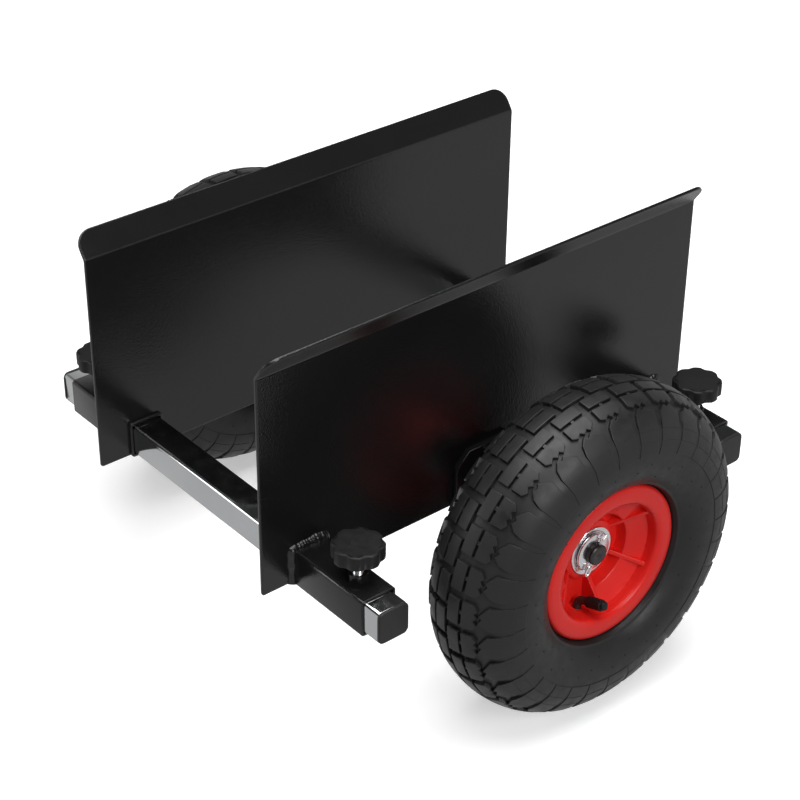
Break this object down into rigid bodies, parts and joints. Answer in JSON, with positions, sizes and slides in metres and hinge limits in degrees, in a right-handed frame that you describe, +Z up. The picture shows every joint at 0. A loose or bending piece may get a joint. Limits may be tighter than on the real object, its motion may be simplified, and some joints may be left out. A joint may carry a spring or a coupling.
{
  "type": "panel dolly",
  "caption": "Wheeled dolly for doors and boards: two flanged steel side panels slide on square cross tubes, clamped by star knobs, with a pneumatic wheel outside each.",
  "frame": {"origin": "on the floor under the centre of the dolly, midway between the wheels", "axes": "+X across the dolly from wheel to wheel, +Y along the panels towards the rear tube, +Z up"},
  "size_m": [0.505, 0.414, 0.3171],
  "materials": {
    "black_powder_coat": "gloss powder coat",
    "black_painted_axle": "semi-gloss paint",
    "chrome": "bright chrome plate",
    "zinc": "bright zinc plate",
    "tyre_rubber": "matt moulded rubber",
    "tube_rubber": "matt",
    "valve_rubber": "satin",
    "red_plastic": "gloss moulded",
    "black_plastic": "fine grain"
  },
  "bodies": {
    "cross_tubes": {"front_cross_tube": "chrome", "rear_cross_tube": "chrome", "left_front_end_cap": "black_plastic", "left_rear_end_cap": "black_plastic", "right_front_end_cap": "black_plastic", "right_rear_end_cap": "black_plastic"},
    "left_half": {"left_panel": "black_powder_coat", "left_front_sleeve": "black_powder_coat", "left_rear_sleeve": "black_powder_coat", "left_weld_beads": "black_powder_coat", "left_clamp_nuts": "black_powder_coat", "left_axle_plate": "black_powder_coat", "left_axle_block": "black_powder_coat", "left_axle_gussets": "black_powder_coat", "left_stub_axle": "black_painted_axle", "left_outer_washer": "zinc", "left_inner_washer": "zinc", "left_cotter_pin": "zinc"},
    "left_wheel": {"left_tyre": "tyre_rubber", "left_inner_tube": "tube_rubber", "left_rim_outer": "red_plastic", "left_rim_inner": "red_plastic", "left_rim_screws": "zinc", "left_outer_bearing": "zinc", "left_inner_bearing": "zinc", "left_hub_spacer": "zinc", "left_valve_stem": "valve_rubber", "left_valve_cap": "valve_rubber"},
    "left_front_stud_body": {"left_front_stud": "zinc"},
    "left_front_knob_body": {"left_front_knob": "black_plastic"},
    "left_rear_stud_body": {"left_rear_stud": "zinc"},
    "left_rear_knob_body": {"left_rear_knob": "black_plastic"},
    "right_half": {"right_panel": "black_powder_coat", "right_front_sleeve": "black_powder_coat", "right_rear_sleeve": "black_powder_coat", "right_weld_beads": "black_powder_coat", "right_clamp_nuts": "black_powder_coat", "right_axle_plate": "black_powder_coat", "right_axle_block": "black_powder_coat", "right_axle_gussets": "black_powder_coat", "right_stub_axle": "black_painted_axle", "right_outer_washer": "zinc", "right_inner_washer": "zinc", "right_cotter_pin": "zinc"},
    "right_wheel": {"right_tyre": "tyre_rubber", "right_inner_tube": "tube_rubber", "right_rim_outer": "red_plastic", "right_rim_inner": "red_plastic", "right_rim_screws": "zinc", "right_outer_bearing": "zinc", "right_inner_bearing": "zinc", "right_hub_spacer": "zinc", "right_valve_stem": "valve_rubber", "right_valve_cap": "valve_rubber"},
    "right_front_stud_body": {"right_front_stud": "zinc"},
    "right_front_knob_body": {"right_front_knob": "black_plastic"},
    "right_rear_stud_body": {"right_rear_stud": "zinc"},
    "right_rear_knob_body": {"right_rear_knob": "black_plastic"}
  },
  "joints": [
    {"name": "left_half_slide", "type": "slide", "parent": "cross_tubes", "child": "left_half", "axis": [1, 0, 0], "range_m": [-0.012, 0.09]},
    {"name": "left_wheel_spin", "type": "hinge", "parent": "left_half", "child": "left_wheel", "pos_m": [-0.2105, 0, 0.13], "axis": [1, 0, 0], "continuous": true},
    {"name": "left_front_stud_lift", "type": "slide", "parent": "left_half", "child": "left_front_stud_body", "axis": [0, 0, 1], "range_m": [0, 0.0025]},
    {"name": "left_front_knob_turn", "type": "hinge", "parent": "left_front_stud_body", "child": "left_front_knob_body", "pos_m": [-0.16, -0.166, 0.17], "axis": [0, 0, 1], "range_deg": [0, 720]},
    {"name": "left_rear_stud_lift", "type": "slide", "parent": "left_half", "child": "left_rear_stud_body", "axis": [0, 0, 1], "range_m": [0, 0.0025]},
    {"name": "left_rear_knob_turn", "type": "hinge", "parent": "left_rear_stud_body", "child": "left_rear_knob_body", "pos_m": [-0.16, 0.166, 0.17], "axis": [0, 0, 1], "range_deg": [0, 720]},
    {"name": "right_half_slide", "type": "slide", "parent": "cross_tubes", "child": "right_half", "axis": [-1, 0, 0], "range_m": [-0.012, 0.09]},
    {"name": "right_wheel_spin", "type": "hinge", "parent": "right_half", "child": "right_wheel", "pos_m": [0.2105, 0, 0.13], "axis": [1, 0, 0], "continuous": true},
    {"name": "right_front_stud_lift", "type": "slide", "parent": "right_half", "child": "right_front_stud_body", "axis": [0, 0, 1], "range_m": [0, 0.0025]},
    {"name": "right_front_knob_turn", "type": "hinge", "parent": "right_front_stud_body", "child": "right_front_knob_body", "pos_m": [0.16, -0.166, 0.17], "axis": [0, 0, 1], "range_deg": [0, 720]},
    {"name": "right_rear_stud_lift", "type": "slide", "parent": "right_half", "child": "right_rear_stud_body", "axis": [0, 0, 1], "range_m": [0, 0.0025]},
    {"name": "right_rear_knob_turn", "type": "hinge", "parent": "right_rear_stud_body", "child": "right_rear_knob_body", "pos_m": [0.16, 0.166, 0.17], "axis": [0, 0, 1], "range_deg": [0, 720]}
  ],
  "couplings": [
    {"joint": "left_front_knob_turn", "follows": "left_front_stud_lift", "rad_per_m": 5026.5},
    {"joint": "left_rear_knob_turn", "follows": "left_rear_stud_lift", "rad_per_m": 5026.5},
    {"joint": "right_front_knob_turn", "follows": "right_front_stud_lift", "rad_per_m": 5026.5},
    {"joint": "right_rear_knob_turn", "follows": "right_rear_stud_lift", "rad_per_m": 5026.5}
  ]
}
